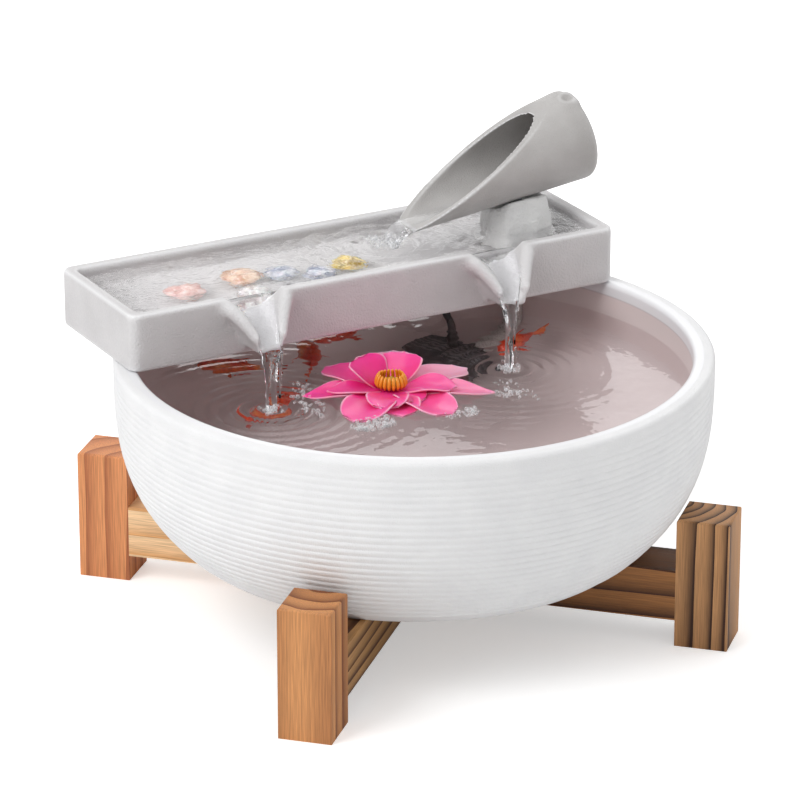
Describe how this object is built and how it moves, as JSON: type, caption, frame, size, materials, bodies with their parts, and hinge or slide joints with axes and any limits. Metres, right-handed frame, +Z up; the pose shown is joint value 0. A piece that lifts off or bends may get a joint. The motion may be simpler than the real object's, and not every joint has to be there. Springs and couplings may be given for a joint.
{
  "type": "tabletop water fountain with submersible pump",
  "caption": "Tabletop fountain: ribbed ceramic bowl on a crossed timber stand, pouring tray, slanted spout tube, floating lotus and a small submersible pump with its hose and cord.",
  "frame": {"origin": "on the bowl's axis, at the height of the surface the stand's posts stand on", "axes": "+Z up, +X along the tray towards the spout's closed end, +Y towards the back, where the tray lies"},
  "size_m": [0.3803, 0.421, 0.2918],
  "materials": {
    "ceramic_bowl": "matt white ceramic, ribbed outside",
    "ceramic_tray": "matt white ceramic with a pitted skin",
    "ceramic_spout": "matt white ceramic with a fine sandy skin",
    "rock": "rough white stone",
    "timber_dark": "scorched and brushed pine, oiled",
    "timber_light": "scorched and brushed pine, pale heartwood",
    "dowel_wood": "plain beech",
    "stone_pink": "tumbled glass stone, pink",
    "stone_peach": "tumbled glass stone, peach",
    "stone_clear": "tumbled glass stone, clear grey",
    "stone_blue": "tumbled glass stone, blue grey",
    "stone_yellow": "tumbled glass stone, amber yellow",
    "pump_plastic": "black moulded plastic",
    "resin": "black potting resin",
    "steel_core": "varnished stacked laminations",
    "bobbin_plastic": "natural nylon",
    "copper_wire": "enamelled copper winding",
    "magnet": "sintered ferrite",
    "shaft_ceramic": "polished ceramic",
    "impeller_plastic": "white moulded plastic",
    "black_rubber": "soft black rubber",
    "hose_silicone": "translucent silicone",
    "riser_plastic": "translucent acrylic tube",
    "cord_sheath": "black PVC sheath",
    "plug_plastic": "black moulded PVC",
    "pin_metal": "plain brass",
    "foam_green": "green foam",
    "foam_petal": "pink foam, paler at the rims",
    "foam_yellow": "yellow foam tassel",
    "fish_skin": "orange red scales, paler below"
  },
  "bodies": {
    "stand": {"beam_lower": "timber_light", "beam_upper": "timber_dark", "post_front_left": "timber_dark", "post_front_right": "timber_dark", "post_back_right": "timber_dark", "post_back_left": "timber_dark", "joint_dowels": "dowel_wood"},
    "bowl": {"bowl": "ceramic_bowl", "motor_housing": "pump_plastic", "potting_resin": "resin", "stator_core": "steel_core", "coil_bobbin": "bobbin_plastic", "coil_winding": "copper_wire", "base_plate": "pump_plastic", "suction_feet": "black_rubber", "rotor_shaft": "shaft_ceramic", "rear_bush": "black_rubber", "front_bush": "black_rubber", "impeller_chamber": "pump_plastic", "chamber_seal": "black_rubber", "cord_relief": "cord_sheath", "hose": "hose_silicone", "power_cord": "cord_sheath", "cord_coil": "cord_sheath", "plug_lead": "cord_sheath", "plug_body": "plug_plastic", "plug_pins": "pin_metal", "goldfish": "fish_skin"},
    "tray": {"tray": "ceramic_tray", "riser_tube": "riser_plastic", "riser_grommet": "black_rubber", "rock_support": "rock", "pebble_pink": "stone_pink", "pebble_peach": "stone_peach", "pebble_clear": "stone_clear", "pebble_blue": "stone_blue", "pebble_yellow": "stone_yellow"},
    "spout": {"spout_tube": "ceramic_spout"},
    "rotor": {"rotor_magnet": "magnet", "impeller": "impeller_plastic"},
    "strainer": {"strainer_cover": "pump_plastic"},
    "dial": {"flow_dial": "pump_plastic"},
    "lotus": {"lotus_float": "foam_green", "lotus_outer_petals": "foam_petal", "lotus_inner_petals": "foam_petal", "lotus_stamens": "foam_yellow", "lotus_seed_head": "foam_yellow"}
  },
  "joints": [
    {"name": "bowl_lift", "type": "slide", "parent": "stand", "child": "bowl", "axis": [0, 0, 1], "range_m": [0, 0.06]},
    {"name": "tray_lift", "type": "slide", "parent": "bowl", "child": "tray", "axis": [0, 0, 1], "range_m": [0, 0.06]},
    {"name": "spout_lift", "type": "slide", "parent": "tray", "child": "spout", "axis": [0, 0, 1], "range_m": [0, 0.05]},
    {"name": "strainer_pull", "type": "slide", "parent": "bowl", "child": "strainer", "axis": [0.342, -0.9397, 0], "range_m": [0, 0.03]},
    {"name": "dial_turn", "type": "hinge", "parent": "strainer", "child": "dial", "pos_m": [0.07853, 0.05878, 0.0885], "axis": [0.342, -0.9397, 0], "range_deg": [0, 90]},
    {"name": "rotor_spin", "type": "hinge", "parent": "bowl", "child": "rotor", "pos_m": [0.06998, 0.08227, 0.0895], "axis": [0.342, -0.9397, 0], "continuous": true},
    {"name": "lotus_turn", "type": "hinge", "parent": "bowl", "child": "lotus", "pos_m": [-0.021, -0.008, 0.153], "axis": [0, 0, 1], "continuous": true}
  ]
}
